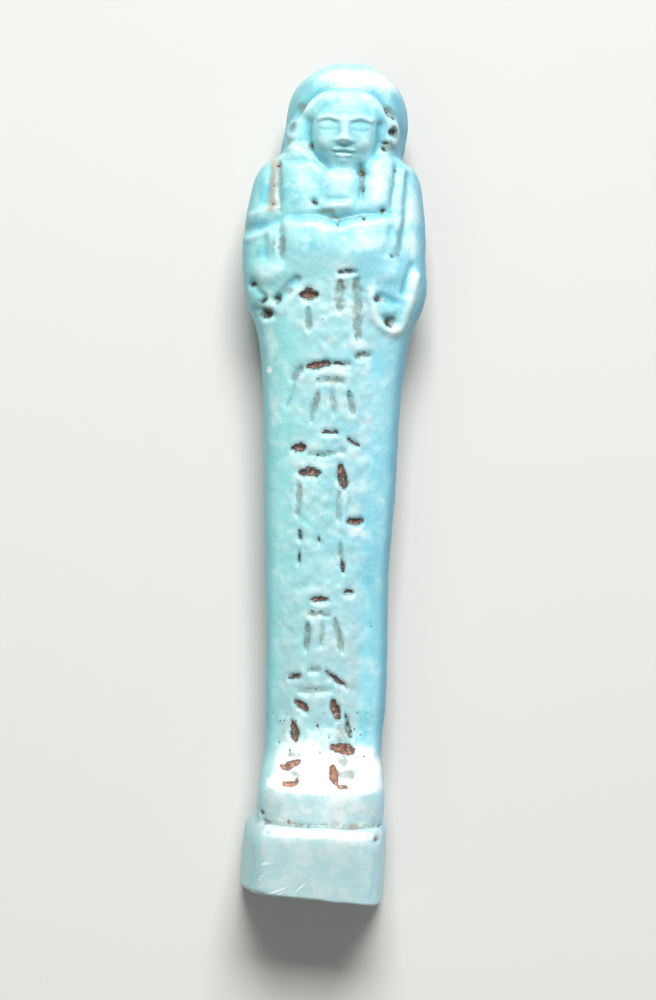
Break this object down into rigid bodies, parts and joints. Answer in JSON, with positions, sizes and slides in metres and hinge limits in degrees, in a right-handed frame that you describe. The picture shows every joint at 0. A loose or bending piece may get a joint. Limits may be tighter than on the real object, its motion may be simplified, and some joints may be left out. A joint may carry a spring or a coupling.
{
  "type": "ushabti figurine",
  "caption": "Small mummy-shaped funerary figurine in turquoise faience, with wig, false beard and crossed arms, rows of incised strokes down its front, on a plinth with a back pillar.",
  "frame": {"origin": "middle of the figurine's bounding rectangle, on the surface it lies on", "axes": "+Y from the plinth to the crown of the head, +Z out of the face, +X to the right of somebody looking at the face"},
  "size_m": [0.0248, 0.1128, 0.0192],
  "materials": {
    "ushabti": "satin"
  },
  "bodies": {
    "root": {"ushabti": "ushabti"}
  },
  "joints": []
}
